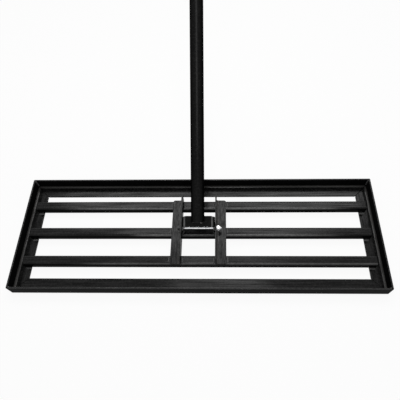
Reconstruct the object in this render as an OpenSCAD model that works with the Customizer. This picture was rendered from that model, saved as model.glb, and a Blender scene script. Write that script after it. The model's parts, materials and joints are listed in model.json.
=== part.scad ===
// Lawn leveling rake: a welded angle-iron frame with three square-tube slats,
// and a sectional tube handle that tilts on a cross bolt between two uprights.
// Origin: middle of the head, on the ground. +X along the head, +Y towards the handle, +Z up.

/* [Head frame] */
// Length of the head along its working edge
head_w = 762; // [500:1:1100]
// Depth of the head from front to back
head_d = 254; // [220:1:400]
// Height of the frame's upright wall
rail_h = 30; // [26:0.5:50]
// Width of the frame's flange on the ground
rail_flange = 30; // [25:0.5:40]
// Thickness of the frame's angle iron
rail_t = 3; // [2:0.1:5]
// Radius of the fillet inside each angle iron
root_r = 4.5; // [0.5:0.1:5]

/* [Slats] */
// Side of the square tube
slat_size = 20; // [16:0.5:24]
// Wall of the square tube
slat_wall = 2; // [1:0.1:3]
// Outer corner radius of the square tube
slat_corner_r = 4; // [2.2:0.1:5]
// Distance between slat centres
slat_pitch = 64; // [50:0.5:75]
// Distance from each end of a slat to the wall of the end rail
slat_gap = 15; // [8:0.5:18]

/* [Uprights] */
// Height of the standing leg above the slats
upright_h = 31; // [26:0.5:45]
// Width of the flange that lies on the slats
upright_flange = 23; // [16:0.5:35]
// Thickness of the uprights
upright_t = 3; // [2:0.1:5]
// Rounding of the flange's free corners
upright_corner_r = 4; // [1:0.5:6]

/* [Pivot] */
// Height of the bolt's axis above the slats
pivot_rise = 17; // [16:0.5:19]
// Diameter of the bolt's shank
bolt_d = 6; // [4:0.5:8]
// Width across flats of the bolt's head and of the nut
hex_af = 10; // [8:0.5:14]
// Height of the bolt's head
bolt_head_h = 4; // [2:0.5:6]
// Height of the lock nut
nut_h = 6; // [5:0.5:9]
// Length of thread that stands out of the nut
thread_out = 2.5; // [1:0.5:6]
// Outer diameter of the washers
washer_d = 12; // [9:0.5:18]
// Thickness of the washers
washer_t = 1.6; // [1:0.1:2.5]

/* [Handle bracket] */
// Width over the bracket's two ears
bracket_w = 69; // [50:0.5:90]
// Length of the bracket's web along the handle
bracket_len = 22.5; // [20:0.5:40]
// Thickness of the bracket's plate
bracket_t = 3; // [2:0.1:4]
// Outer radius of the bracket's two bends
bracket_bend_r = 8; // [4.5:0.5:9]
// Height of the web's outer face over the bolt's axis
web_rise = 14; // [13:0.5:20]
// Distance along the handle from the bolt's axis to the web
web_start = 4; // [3:0.5:12]
// Depth of the slanted cuts on the bracket's two far corners
corner_cut = 3; // [0.5:0.5:5]
// Radius of the ears around the bolt
ear_r = 9; // [7:0.5:11]

/* [Handle] */
// Slope of the handle at rest, in degrees above the ground
handle_angle = 33; // [20:1:60]
// Outer diameter of the handle's tube
tube_d = 27; // [20:0.5:32]
// Wall of the handle's tube
tube_wall = 0.8; // [0.6:0.1:2]
// Distance along the handle from the bolt's axis to the tube's lower end
tube_start = 16; // [14:0.5:18]
// Length of each of the three tube sections
section_len = 500; // [300:5:650]
// Length of the sleeve inside each tube joint
sleeve_len = 80; // [50:1:150]
// Wall of the sleeve
sleeve_wall = 1.2; // [0.8:0.1:2.5]
// Diameter of the joint screws
screw_d = 5; // [3:0.5:6]
// Diameter of the joint screws' heads
screw_head_d = 9; // [7:0.5:12]
// Height of the joint screws' heads
screw_head_h = 2.6; // [1.5:0.1:4]

/* [Grip] */
// Length of the hand grip
grip_len = 140; // [90:5:250]
// Thickness of the grip's rubber
grip_wall = 3; // [2:0.5:5]
// Thickness of the cap over the handle's end
cap_t = 4; // [2:0.5:8]

/* [Hidden] */
$fn = 64;

// Overrun of every cut past the faces that it goes through
overrun = 1;
// Gap between each bracket ear and the upright beside it
ear_clearance = 0.25;
// Radial clearance of the bolt in the turning bracket
pivot_clearance = 0.06;
// Radial clearance of the bolt in the uprights and washers
bolt_hole_clearance = 0.2;
// Radial clearance of the thread in the nut and of the insert in its seat
thread_clearance = 0.05;
// Radial clearance of the sleeves and the cap's stem in the tubes, and of the grip on its tube
tube_clearance = 0.1;
// Radial clearance of the joint screws in their holes
screw_clearance = 0.1;
// Leg of the fillet welds on the slat ends, uprights, frame corners and bracket
weld_leg = 3;
// Height and half width of the seams along the frame's mitres
seam_h = 1;
// Chamfer on the end of the bolt's thread
thread_chamfer = 0.8;
// Height and diameter of the lock nut's round collar as shares of the nut's height and width
collar_h_share = 0.35;
collar_d_share = 0.94;
// Wall of the collar around the insert, and the insert's height as a share of the collar's
collar_wall = 0.9;
insert_h_share = 0.8;
// Distance of each joint screw from the joint, as a share of the sleeve's half length
screw_place_share = 0.55;
// Length of the cap's stem as a share of the tube's diameter
stem_share = 0.6;
// Rounding of the grip's two ends as a share of its wall
grip_round_share = 0.6;

slat_top = rail_t + slat_size;
slat_len = head_w - 2 * (rail_t + slat_gap);
pivot_z = slat_top + pivot_rise;
upright_gap = bracket_w + 2 * ear_clearance;
upright_len = 2 * slat_pitch + slat_size;
outer_face = upright_gap / 2 + upright_t;
washer_face = outer_face + washer_t;
hex_d = hex_af / cos(30);
bolt_hole_r = bolt_d / 2 + bolt_hole_clearance;
collar_h = nut_h * collar_h_share;
collar_d = hex_af * collar_d_share;
insert_d = collar_d - 2 * collar_wall;
insert_h = collar_h * insert_h_share;
web_end = web_start + bracket_len;
tube_rise = web_rise + tube_d / 2;
tube_bore_r = tube_d / 2 - tube_wall;
sleeve_r = tube_bore_r - tube_clearance;
first_joint = tube_start + section_len;
second_joint = first_joint + section_len;
handle_end = second_joint + section_len;
screw_offset = sleeve_len / 2 * screw_place_share;
screw_places = [for (joint = [first_joint, second_joint], side = [-1, 1]) joint + side * screw_offset];
grip_d = tube_d + 2 * (grip_wall + tube_clearance);
grip_round = grip_wall * grip_round_share;
cap_d = grip_d - 2 * grip_round;
stem_len = tube_d * stem_share;

// Point where the lower line from p touches a circle of radius r about the origin
function tangent_point(p, r) =
    let (turn = atan2(p[1], p[0]) - acos(r / norm(p)))
    [r * cos(turn), r * sin(turn)];

// Section of an angle iron: flange along +x, wall along +y, fillet in the inner corner
module angle_section(flange, wall, t, fillet) {
    square([flange, t]);
    square([t, wall]);
    difference() {
        square(t + fillet);
        translate([t + fillet, t + fillet])
            circle(fillet);
    }
}

// Rectangle with round corners, centred, or square corners where the radius is zero
module rounded_rectangle(w, h, r) {
    square([w - 2 * r, h], center = true);
    square([w, h - 2 * r], center = true);
    if (r > 0)
        for (sx = [-1, 1], sy = [-1, 1])
            translate([sx * (w / 2 - r), sy * (h / 2 - r)])
                circle(r);
}

// Quarter-round bead of weld along +x, in the corner of the +y and +z faces
module fillet_weld(length, leg) {
    rotate([90, 0, 90])
        linear_extrude(length)
            intersection() {
                circle(leg);
                square(leg);
            }
}

// Angle iron along x with its outer face at y = 0, mitred at both ends
module mitred_rail(length) {
    intersection() {
        translate([-length / 2, 0, 0])
            rotate([90, 0, 90])
                linear_extrude(length)
                    angle_section(rail_flange, rail_h, rail_t, root_r);
        translate([0, 0, -overrun])
            linear_extrude(rail_h + 2 * overrun)
                polygon([[-length / 2, 0], [length / 2, 0],
                         [length / 2 - rail_flange, rail_flange],
                         [rail_flange - length / 2, rail_flange]]);
    }
}

module front_rail() {
    color("#1c1c1c")
        translate([0, -head_d / 2, 0])
            mitred_rail(head_w);
}

module back_rail() {
    color("#1c1c1c")
        translate([0, head_d / 2, 0])
            rotate([0, 0, 180])
                mitred_rail(head_w);
}

module left_rail() {
    color("#1c1c1c")
        translate([-head_w / 2, 0, 0])
            rotate([0, 0, -90])
                mitred_rail(head_d);
}

module right_rail() {
    color("#1c1c1c")
        translate([head_w / 2, 0, 0])
            rotate([0, 0, 90])
                mitred_rail(head_d);
}

// Square tube along the head, seated on the flanges of the two end rails
module slat(y) {
    color("#2b2b2b")
        translate([-slat_len / 2, y, rail_t + slat_size / 2])
            rotate([90, 0, 90])
                linear_extrude(slat_len)
                    difference() {
                        rounded_rectangle(slat_size, slat_size, slat_corner_r);
                        rounded_rectangle(slat_size - 2 * slat_wall, slat_size - 2 * slat_wall,
                                          max(slat_corner_r - slat_wall, 0));
                    }
}

module front_slat() {
    slat(-slat_pitch);
}

module middle_slat() {
    slat(0);
}

module back_slat() {
    slat(slat_pitch);
}

// Plan of an upright, with its flange's two free corners rounded
module upright_plan() {
    inner = upright_gap / 2;
    straight = upright_flange - upright_corner_r;
    translate([inner, -upright_len / 2])
        square([straight, upright_len]);
    translate([inner, upright_corner_r - upright_len / 2])
        square([upright_flange, upright_len - 2 * upright_corner_r]);
    for (end = [-1, 1])
        translate([inner + straight, end * (upright_len / 2 - upright_corner_r)])
            circle(upright_corner_r);
}

// Angle iron across the three slats: flange outwards, leg standing, bolt hole in the leg
module upright() {
    difference() {
        intersection() {
            translate([upright_gap / 2, upright_len / 2, slat_top])
                rotate([90, 0, 0])
                    linear_extrude(upright_len)
                        angle_section(upright_flange, upright_h, upright_t, root_r);
            translate([0, 0, slat_top - overrun])
                linear_extrude(upright_h + 2 * overrun)
                    upright_plan();
        }
        translate([upright_gap / 2 - overrun, 0, pivot_z])
            rotate([0, 90, 0])
                cylinder(r = bolt_hole_r, h = upright_t + 2 * overrun);
    }
}

module left_upright() {
    color("#333333")
        mirror([1, 0, 0])
            upright();
}

module right_upright() {
    color("#333333")
        upright();
}

// One frame corner: an upright bead between the walls and a seam along the flanges' mitre
module corner_weld() {
    bead_bottom = rail_t + root_r;
    seam_from = (rail_t + root_r + weld_leg) * sqrt(2);
    seam_to = rail_flange * sqrt(2) - seam_h;
    translate([rail_t, rail_t, bead_bottom])
        linear_extrude(rail_h - bead_bottom)
            intersection() {
                circle(weld_leg);
                square(weld_leg);
            }
    translate([0, 0, rail_t])
        rotate([0, 0, 45])
            translate([seam_from, 0, 0])
                rotate([90, 0, 90])
                    linear_extrude(seam_to - seam_from)
                        intersection() {
                            circle(seam_h);
                            translate([-seam_h, 0])
                                square([2 * seam_h, seam_h]);
                        }
}

module corner_welds() {
    color("#262626")
        for (sx = [0, 1], sy = [0, 1])
            mirror([sx, 0, 0])
                mirror([0, sy, 0])
                    translate([-head_w / 2, -head_d / 2, 0])
                        corner_weld();
}

// Section of the bead beside a slat, which fills the groove under the tube's round corner
module slat_bead_section() {
    difference() {
        union() {
            translate([slat_size / 2 - slat_corner_r, 0])
                square(slat_corner_r);
            translate([slat_size / 2, 0])
                intersection() {
                    circle(slat_corner_r);
                    square(slat_corner_r);
                }
        }
        translate([0, slat_size / 2])
            rounded_rectangle(slat_size, slat_size, slat_corner_r);
    }
}

// Beads on the end flanges: in front of, behind and across each end of each slat
module slat_welds() {
    side_len = rail_flange - rail_t - slat_gap;
    end_len = slat_size - 2 * slat_corner_r;
    color("#3a3a3a")
        for (end = [0, 1], row = [-1, 0, 1])
            mirror([end, 0, 0])
                translate([-slat_len / 2, row * slat_pitch, rail_t]) {
                    for (side = [0, 1])
                        mirror([0, side, 0])
                            rotate([90, 0, 90])
                                linear_extrude(side_len)
                                    slat_bead_section();
                    translate([0, -end_len / 2, 0])
                        rotate([0, 0, 90])
                            fillet_weld(end_len, weld_leg);
                }
}

// Beads on the slat tops, along the outer edge of each flange and the foot of each leg
module upright_welds() {
    bead_len = slat_size - 2 * slat_corner_r;
    flange_edge = upright_gap / 2 + upright_flange;
    color("#3a3a3a")
        for (side = [0, 1], row = [-1, 0, 1])
            mirror([side, 0, 0])
                translate([0, row * slat_pitch, slat_top]) {
                    translate([flange_edge, bead_len / 2, 0])
                        rotate([0, 0, -90])
                            fillet_weld(bead_len, weld_leg);
                    translate([upright_gap / 2, -bead_len / 2, 0])
                        rotate([0, 0, 90])
                            fillet_weld(bead_len, weld_leg);
                }
}

// Moves a shape made along +z to the bolt's axis, with z = 0 at the given x
module on_bolt(x) {
    translate([x, 0, pivot_z])
        rotate([0, 90, 0])
            children();
}

module pivot_bolt() {
    shank_len = 2 * washer_face + nut_h + thread_out;
    color("#d8d8d4")
        on_bolt(-washer_face) {
            cylinder(d = bolt_d, h = shank_len - thread_chamfer);
            translate([0, 0, shank_len - thread_chamfer])
                cylinder(d1 = bolt_d, d2 = bolt_d - 2 * thread_chamfer, h = thread_chamfer);
            translate([0, 0, -bolt_head_h])
                cylinder(d = hex_d, h = bolt_head_h, $fn = 6);
        }
}

// Hexagon with a round collar that holds the locking insert
module pivot_nut() {
    hex_h = nut_h - collar_h;
    color("#d8d8d4")
        on_bolt(washer_face)
            difference() {
                union() {
                    cylinder(d = hex_d, h = hex_h, $fn = 6);
                    cylinder(d = collar_d, h = nut_h);
                }
                translate([0, 0, -overrun])
                    cylinder(r = bolt_d / 2 + thread_clearance, h = nut_h + 2 * overrun);
                translate([0, 0, nut_h - insert_h])
                    cylinder(r = insert_d / 2 + thread_clearance, h = insert_h + overrun);
            }
}

module nut_insert() {
    color("#f2f2ee")
        on_bolt(washer_face + nut_h - insert_h)
            difference() {
                cylinder(d = insert_d, h = insert_h);
                translate([0, 0, -overrun])
                    cylinder(r = bolt_d / 2 + thread_clearance, h = insert_h + 2 * overrun);
            }
}

module pivot_washers() {
    color("#cfcfca")
        for (side = [0, 1])
            mirror([side, 0, 0])
                on_bolt(outer_face)
                    difference() {
                        cylinder(d = washer_d, h = washer_t);
                        translate([0, 0, -overrun])
                            cylinder(r = bolt_hole_r, h = washer_t + 2 * overrun);
                    }
}

// Handle frame: x along the bolt, y up the handle, z out of the web, zero on the bolt's axis
module on_handle() {
    translate([0, 0, pivot_z])
        rotate([handle_angle, 0, 0])
            children();
}

// Shape made along +z, turned to lie on the axis of the handle's tube from the given place
module on_tube(y) {
    on_handle()
        translate([0, y, tube_rise])
            rotate([-90, 0, 0])
                children();
}

// Side view of the web and of the ears' upper part, which narrows towards the round about the bolt
module bracket_side() {
    bend_start = web_rise - bracket_bend_r;
    far = [web_end, bend_start];
    polygon([[0, 0], [web_start, bend_start], [web_start, web_rise], [web_end, web_rise], far,
             tangent_point(far, ear_r)]);
}

// Section of the folded plate: flat web, two round bends and two ears
module bracket_section() {
    translate([0, web_rise - bracket_w / 2])
        difference() {
            rounded_rectangle(bracket_w, bracket_w, bracket_bend_r);
            rounded_rectangle(bracket_w - 2 * bracket_t, bracket_w - 2 * bracket_t,
                              max(bracket_bend_r - bracket_t, 0));
        }
}

// Plan of the bracket, with its two far corners cut off at a slant from the start of the bends
module bracket_plan() {
    side = bracket_w / 2 + overrun;
    straight = bracket_w / 2 - bracket_bend_r;
    near = -ear_r - overrun;
    slant = corner_cut * (side - straight) / bracket_bend_r;
    polygon([[-side, near], [side, near], [side, web_end - slant], [straight, web_end],
             [-straight, web_end], [-side, web_end - slant]]);
}

module handle_bracket() {
    cross = bracket_w + 2 * overrun;
    color("#1f1f1f")
        on_handle()
            difference() {
                intersection() {
                    translate([0, web_end + overrun, 0])
                        rotate([90, 0, 0])
                            linear_extrude(web_end + ear_r + 2 * overrun)
                                bracket_section();
                    translate([-cross / 2, 0, 0])
                        rotate([90, 0, 90])
                            union() {
                                cylinder(r = ear_r, h = cross);
                                linear_extrude(cross)
                                    bracket_side();
                            }
                    translate([0, 0, -ear_r - overrun])
                        linear_extrude(web_rise + ear_r + 2 * overrun)
                            bracket_plan();
                }
                translate([-cross / 2, 0, 0])
                    rotate([0, 90, 0])
                        cylinder(r = bolt_d / 2 + pivot_clearance, h = cross);
            }
}

// Beads in the two grooves between the handle's tube and the web, run on past the tube's end
module bracket_welds() {
    bead_w = tube_d / 2;
    bead_h = weld_leg;
    color("#4a4a46")
        on_handle()
            translate([0, web_end, web_rise])
                rotate([90, 0, 0])
                    linear_extrude(web_end - tube_start + weld_leg)
                        difference() {
                            for (side = [-1, 1])
                                polygon([[side * bead_w / 2, 0], [side * bead_w, 0],
                                         [side * (bead_w - bead_h / 2), bead_h],
                                         [side * bead_w / 2, bead_h]]);
                            translate([0, tube_d / 2])
                                circle(d = tube_d);
                        }
}

// One tube section, with a screw hole at each joint end that it has
module tube_section(start, end) {
    color("#141414")
        difference() {
            on_tube(start)
                difference() {
                    cylinder(d = tube_d, h = end - start);
                    translate([0, 0, -overrun])
                        cylinder(r = tube_bore_r, h = end - start + 2 * overrun);
                }
            for (place = screw_places)
                if (place > start && place < end)
                    screw_hole(place);
        }
}

// Radial hole on the side of the tube that faces away from the web
module screw_hole(place) {
    on_handle()
        translate([0, place, tube_rise])
            cylinder(r = screw_d / 2 + screw_clearance, h = tube_d / 2 + overrun);
}

module lower_tube() {
    tube_section(tube_start, first_joint);
}

module middle_tube() {
    tube_section(first_joint, second_joint);
}

module upper_tube() {
    tube_section(second_joint, handle_end);
}

// Sleeve inside a tube joint, with a hole for the screw on each side of the joint
module sleeve(joint) {
    color("#8c8c88")
        difference() {
            on_tube(joint - sleeve_len / 2)
                difference() {
                    cylinder(r = sleeve_r, h = sleeve_len);
                    translate([0, 0, -overrun])
                        cylinder(r = sleeve_r - sleeve_wall, h = sleeve_len + 2 * overrun);
                }
            for (side = [-1, 1])
                screw_hole(joint + side * screw_offset);
        }
}

module lower_sleeve() {
    sleeve(first_joint);
}

module upper_sleeve() {
    sleeve(second_joint);
}

// Screws through the tube into the sleeve, two at each joint
module joint_screws() {
    screw_len = tube_wall + tube_clearance + 2 * sleeve_wall;
    color("#2a2a2a")
        for (place = screw_places)
            on_handle()
                translate([0, place, tube_rise + tube_d / 2]) {
                    cylinder(d = screw_head_d, h = screw_head_h);
                    translate([0, 0, -screw_len])
                        cylinder(d = screw_d, h = screw_len);
                }
}

module grip() {
    inner = tube_d / 2 + tube_clearance;
    color("#101010")
        on_tube(handle_end - grip_len)
            rotate_extrude()
                union() {
                    translate([inner, grip_round])
                        square([grip_wall, grip_len - 2 * grip_round]);
                    translate([inner, 0])
                        square([grip_wall - grip_round, grip_len]);
                    for (y = [grip_round, grip_len - grip_round])
                        translate([inner + grip_wall - grip_round, y])
                            circle(grip_round);
                }
}

// Plug in the tube's upper end, with a cap over the tube and the grip
module end_cap() {
    color("#161616")
        on_tube(handle_end) {
            cylinder(d = cap_d, h = cap_t);
            translate([0, 0, -stem_len])
                cylinder(r = tube_bore_r - tube_clearance, h = stem_len);
        }
}

front_rail();
back_rail();
left_rail();
right_rail();
front_slat();
middle_slat();
back_slat();
left_upright();
right_upright();
corner_welds();
slat_welds();
upright_welds();
pivot_bolt();
pivot_nut();
nut_insert();
pivot_washers();
handle_bracket();
bracket_welds();
lower_tube();
middle_tube();
upper_tube();
lower_sleeve();
upper_sleeve();
joint_screws();
grip();
end_cap();
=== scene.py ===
# %% [markdown]
# # Dressing a lawn leveling rake
#
# A lawn leveling rake is a flat welded frame that is dragged over soil or sand by a long handle.
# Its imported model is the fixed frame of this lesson: every size and place comes from there.
# The lesson builds each piece again with soft edges, weld ripples and threads, gives it a finish,
# and lights it as in a small studio. Lengths are in metres, as Blender wants them.

# %% Load the frame
import bpy
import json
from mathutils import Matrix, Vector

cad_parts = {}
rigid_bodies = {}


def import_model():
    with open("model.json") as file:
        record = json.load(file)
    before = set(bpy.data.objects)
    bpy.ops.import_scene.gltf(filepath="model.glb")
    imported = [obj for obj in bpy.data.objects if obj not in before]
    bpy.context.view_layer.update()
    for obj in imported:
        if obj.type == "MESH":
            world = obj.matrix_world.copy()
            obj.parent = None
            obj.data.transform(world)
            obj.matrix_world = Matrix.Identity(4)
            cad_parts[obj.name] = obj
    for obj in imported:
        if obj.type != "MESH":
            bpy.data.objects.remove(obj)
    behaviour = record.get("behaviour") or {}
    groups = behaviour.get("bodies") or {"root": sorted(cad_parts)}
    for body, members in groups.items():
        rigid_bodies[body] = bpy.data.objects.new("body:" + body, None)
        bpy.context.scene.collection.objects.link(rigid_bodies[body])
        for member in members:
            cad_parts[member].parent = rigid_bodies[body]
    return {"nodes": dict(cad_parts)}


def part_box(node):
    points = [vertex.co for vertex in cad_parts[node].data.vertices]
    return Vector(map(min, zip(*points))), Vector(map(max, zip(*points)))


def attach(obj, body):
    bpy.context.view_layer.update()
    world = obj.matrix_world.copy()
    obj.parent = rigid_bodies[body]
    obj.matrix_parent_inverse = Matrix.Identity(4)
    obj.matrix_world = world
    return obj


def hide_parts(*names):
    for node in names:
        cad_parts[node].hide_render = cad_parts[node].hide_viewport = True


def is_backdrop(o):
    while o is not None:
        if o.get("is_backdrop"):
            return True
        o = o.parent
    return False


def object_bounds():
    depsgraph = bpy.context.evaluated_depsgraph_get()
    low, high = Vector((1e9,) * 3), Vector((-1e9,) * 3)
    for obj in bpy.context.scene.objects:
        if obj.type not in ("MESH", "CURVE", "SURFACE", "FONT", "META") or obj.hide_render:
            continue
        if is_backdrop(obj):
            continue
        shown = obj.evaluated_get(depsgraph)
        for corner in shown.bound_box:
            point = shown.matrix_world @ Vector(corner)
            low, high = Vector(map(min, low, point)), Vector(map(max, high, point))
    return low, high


for leftover in list(bpy.data.objects):
    bpy.data.objects.remove(leftover)
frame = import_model()
cad_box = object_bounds()
print("nodes in the frame:", len(frame["nodes"]))

# %% [markdown]
# ## Sizes that the pieces share
#
# What a box around a node can tell is measured. What it can't tell, such as the thickness of a wall,
# is written down once in millimetres. The handle leans, so it gets a frame of its own:
# x along the pivot bolt, y up the handle, z out of the bracket's web.

# %% Measure the frame
import math
from mathutils import Matrix, Vector

mm = 0.001
front_low, front_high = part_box("front_rail")
back_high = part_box("back_rail")[1]
bolt_low, bolt_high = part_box("pivot_bolt")
head_length = front_high.x - front_low.x
head_depth = back_high.y - front_low.y
rail_height = front_high.z
rail_flange = front_high.y - front_low.y
rail_plate = 3 * mm
rail_root = 4.5 * mm
pivot_height = (bolt_low.z + bolt_high.z) / 2
handle_slope = math.radians(33)
handle_frame = Matrix.Translation((0, 0, pivot_height)) @ Matrix.Rotation(handle_slope, 4, "X")
print("head", round(head_length / mm), "by", round(head_depth / mm), "mm")
print("pivot at", round(pivot_height / mm), "mm")

# %% [markdown]
# ## The camera
#
# The picture was taken from the front, less than a metre up, looking down at about sixty degrees.
# The place, turn and lens were found by matching the frame's corners, the slats and the tube
# with the photograph. A camera looks along its own -Z, so its matrix is made of three directions:
# right, up and backwards. The lens sits ten pixels right of the middle, and the shift repeats that.

# %% Set up the camera
picture_width = 400
focal_pixels = 403.19
lens_off_centre = 10
camera_place = Vector((0.04714, -0.36277, 0.80128))
looks_down, turns, leans = (math.radians(angle) for angle in (60.507, -3.190, -2.931))

forward = Vector((math.sin(turns) * math.cos(looks_down), math.cos(turns) * math.cos(looks_down),
                  -math.sin(looks_down)))
level_right = Vector((math.cos(turns), -math.sin(turns), 0))
level_up = level_right.cross(forward)
camera_right = math.cos(leans) * level_right + math.sin(leans) * level_up
camera_up = math.cos(leans) * level_up - math.sin(leans) * level_right


def show(name, data):
    """New object in the scene."""
    shape = bpy.data.objects.new(name, data)
    bpy.context.scene.collection.objects.link(shape)
    return shape


camera = show("camera", bpy.data.cameras.new("camera"))
camera.data.sensor_width = 36
camera.data.lens = camera.data.sensor_width * focal_pixels / picture_width
camera.data.shift_x = -lens_off_centre / picture_width
camera.matrix_world = Matrix.Translation(camera_place) @ Matrix(
    (camera_right, camera_up, -forward)).transposed().to_4x4()
bpy.context.scene.camera = camera
print("lens", round(camera.data.lens, 2), "mm")

# %% [markdown]
# ## The studio
#
# Black paint shows little colour of its own, so what one sees is mostly what it mirrors.
# In the photograph the level faces are grey and the standing faces are nearly black: broad soft lights
# hang behind the rake, and the level faces mirror them towards the camera. The back of the head is grey
# almost from end to end, the middle slat over half its length and the front only around its middle,
# so the panels grow narrower from the back to the one overhead, which also draws the thin streak
# along the tube. All are area lights, because a large soft panel gives a streak with soft ends,
# where a point lamp would give a hard dot.

# %% Hang the soft lights
def hang_panel(name, watts, size, elevation, distance, aim_x=0.0):
    """Area light behind the rake that looks at aim_x on the ground. At 90 degrees it hangs overhead."""
    above = math.radians(elevation)
    towards = Vector((0, math.cos(above), math.sin(above)))
    panel = bpy.data.lights.new(name, "AREA")
    panel.shape = "RECTANGLE"
    panel.size, panel.size_y = size
    panel.energy = watts
    lamp = show(name, panel)
    tilt = towards.to_track_quat("Z", "Y").to_matrix().to_4x4()
    lamp.matrix_world = Matrix.Translation(Vector((aim_x, 0, 0)) + towards * distance) @ tilt
    return lamp


panels = [
    hang_panel("back_panel", watts=8.5, size=(1.75, 0.35), elevation=57, distance=1.55),
    hang_panel("middle_panel", watts=2.4, size=(1.15, 0.15), elevation=66.5, distance=1.55, aim_x=0.03),
    hang_panel("top_panel", watts=5.2, size=(0.5, 1.0), elevation=91, distance=1.4, aim_x=0.04),
]
print("lights:", [lamp.name for lamp in panels])

# %% [markdown]
# ## Small helpers for nodes
#
# Materials are node trees, and each node is a few lines of Python. One helper makes a node and fills
# its inputs: a plain value is set on the socket, and another node's output is linked to it.

# %% Define the node helpers
def add_node(tree, kind, inputs=None, **settings):
    """New shader node. inputs maps a socket's name or number to a value or to another node's output."""
    node = tree.nodes.new("ShaderNode" + kind)
    for setting, value in settings.items():
        setattr(node, setting, value)
    for socket, value in (inputs or {}).items():
        if isinstance(value, bpy.types.NodeSocket):
            tree.links.new(value, node.inputs[socket])
        else:
            node.inputs[socket].default_value = value
    return node


def calculate(tree, operation, first, second=0.0):
    return add_node(tree, "Math", {0: first, 1: second}, operation=operation).outputs[0]


def times(tree, first, second):
    return calculate(tree, "MULTIPLY", first, second)


def remap(tree, value, low, high, to_low=0.0, to_high=1.0):
    """Stretches low..high of a value over to_low..to_high and clips the rest."""
    return add_node(tree, "MapRange", {"Value": value, "From Min": low, "From Max": high,
                                       "To Min": to_low, "To Max": to_high}).outputs["Result"]


def noise(tree, place, scale, detail):
    return add_node(tree, "TexNoise", {"Vector": place, "Scale": scale, "Detail": detail}).outputs["Fac"]


def mix_colours(tree, share, first, second):
    node = add_node(tree, "Mix", {0: share, 6: first, 7: second}, data_type="RGBA")
    return node.outputs[2]


def grey(level, blue=1.0):
    return (level, level, level * blue, 1.0)


print("node helpers ready")

# %% [markdown]
# ## White around the rake
#
# The picture stands on plain white. The world is white to the camera, to mirrors and to glass,
# at a strength of one, and a softer level lights the paint. Light Path tells the two apart.

# %% Paint the world white
ambient_light = 0.3


def seen_directly(tree):
    """1 for what the camera sees, also in a mirror or through glass, and 0 for light on its way."""
    ray = add_node(tree, "LightPath").outputs
    seen = calculate(tree, "MAXIMUM", ray["Is Camera Ray"], ray["Is Glossy Ray"])
    return calculate(tree, "MAXIMUM", seen, ray["Is Transmission Ray"])


world = bpy.data.worlds.new("white_room")
bpy.context.scene.world = world
world.use_nodes = True
tree = world.node_tree
tree.nodes.clear()
soft = add_node(tree, "Background", {"Color": grey(1.0), "Strength": ambient_light})
white = add_node(tree, "Background", {"Color": grey(1.0), "Strength": 1.0})
either = add_node(tree, "MixShader", {0: seen_directly(tree), 1: soft.outputs[0], 2: white.outputs[0]})
add_node(tree, "OutputWorld", {"Surface": either.outputs[0]})
bpy.context.scene.view_settings.view_transform = "Standard"
print("world:", world.name)

# %% [markdown]
# ## The floor
#
# A floor that is only diffuse would turn grey under the slats, while the photograph shows clear white.
# So a share of plain white is added for the camera, mirrors and glass, and the rest still takes
# the rake's soft shadow. Its rim fades out, so no edge shows from any side, and from below it is clear,
# so that the underside can be looked at.

# %% Lay the floor
floor_radius = 2.4
floor_rim = 1.3
floor_white_share = 0.92
floor_drop = 0.2 * mm
floor_grain = 60.0
floor_tones = grey(0.88), grey(0.92)
rim_count = 96

rim_angles = [math.tau * i / rim_count for i in range(rim_count)]
floor_mesh = bpy.data.meshes.new("floor")
floor_mesh.from_pydata(
    [(floor_radius * math.cos(angle), floor_radius * math.sin(angle), -floor_drop) for angle in rim_angles],
    [], [tuple(range(rim_count))])
floor = show("floor", floor_mesh)
floor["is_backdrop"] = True

pale = bpy.data.materials.new("pale_floor")
pale.use_nodes = True
tree = pale.node_tree
tree.nodes.clear()
place = add_node(tree, "TexCoord").outputs["Object"]
tone = mix_colours(tree, noise(tree, place, floor_grain, 3.0), *floor_tones)
lit = add_node(tree, "BsdfDiffuse", {"Color": tone})
white = add_node(tree, "Emission", {"Color": grey(1.0), "Strength": 1.0})
share = times(tree, seen_directly(tree), floor_white_share)
surface = add_node(tree, "MixShader", {0: share, 1: lit.outputs[0], 2: white.outputs[0]})
reach = add_node(tree, "VectorMath", {0: place}, operation="LENGTH").outputs["Value"]
fade = remap(tree, reach, floor_rim, floor_radius)
clear = add_node(tree, "BsdfTransparent")
from_below = add_node(tree, "NewGeometry").outputs["Backfacing"]
hidden = calculate(tree, "MAXIMUM", fade, from_below)
whole = add_node(tree, "MixShader", {0: hidden, 1: surface.outputs[0], 2: clear.outputs[0]})
add_node(tree, "OutputMaterial", {"Surface": whole.outputs[0]})
floor_mesh.materials.append(pale)
print("floor:", floor_radius, "m to its rim")

# %% [markdown]
# ## Effects that several finishes share
#
# Powder coat is sprayed on dry and baked, which leaves a fine orange-peel skin and a slightly uneven tone.
# Level faces get a full, glossy film and standing faces a thin one. That is painted shade: it takes the
# reflections off standing faces and keeps them nearly black.
# Rolled and drawn steel has fine lines along its length that show through the coat as streaks.
# Generated coordinates run from 0 to 1 over a piece's box, so a noise in them is stretched
# along the longest side by itself.
# Corners that stick out turn pale and inner corners take a dusty tone: partly rub and dust, partly painted
# highlight along edges, roots and bends.
# Each effect is a node group with named sockets, so every finish can use it with its own values.
# The pieces carry a value called wear: 1 along outer edges, -1 in inner corners, 0 on flat faces.
# A further value takes the shine away and darkens metal: painted shade on the middle slat under the bracket
# and on the bolt's shank round a painted highlight line, and a darker tone on the bare weld ends.

# %% Define an empty group
def new_group(name, inputs, outputs):
    """Empty node group with float sockets, and its two end nodes."""
    group = bpy.data.node_groups.new(name, "ShaderNodeTree")
    for label, value in inputs.items():
        socket = group.interface.new_socket(label, in_out="INPUT", socket_type="NodeSocketFloat")
        socket.default_value = value
    for label in outputs:
        group.interface.new_socket(label, in_out="OUTPUT", socket_type="NodeSocketFloat")
    return group, group.nodes.new("NodeGroupInput").outputs, group.nodes.new("NodeGroupOutput").inputs


def send(group, value, socket):
    group.links.new(value, socket)


print("group helper ready")

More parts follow.
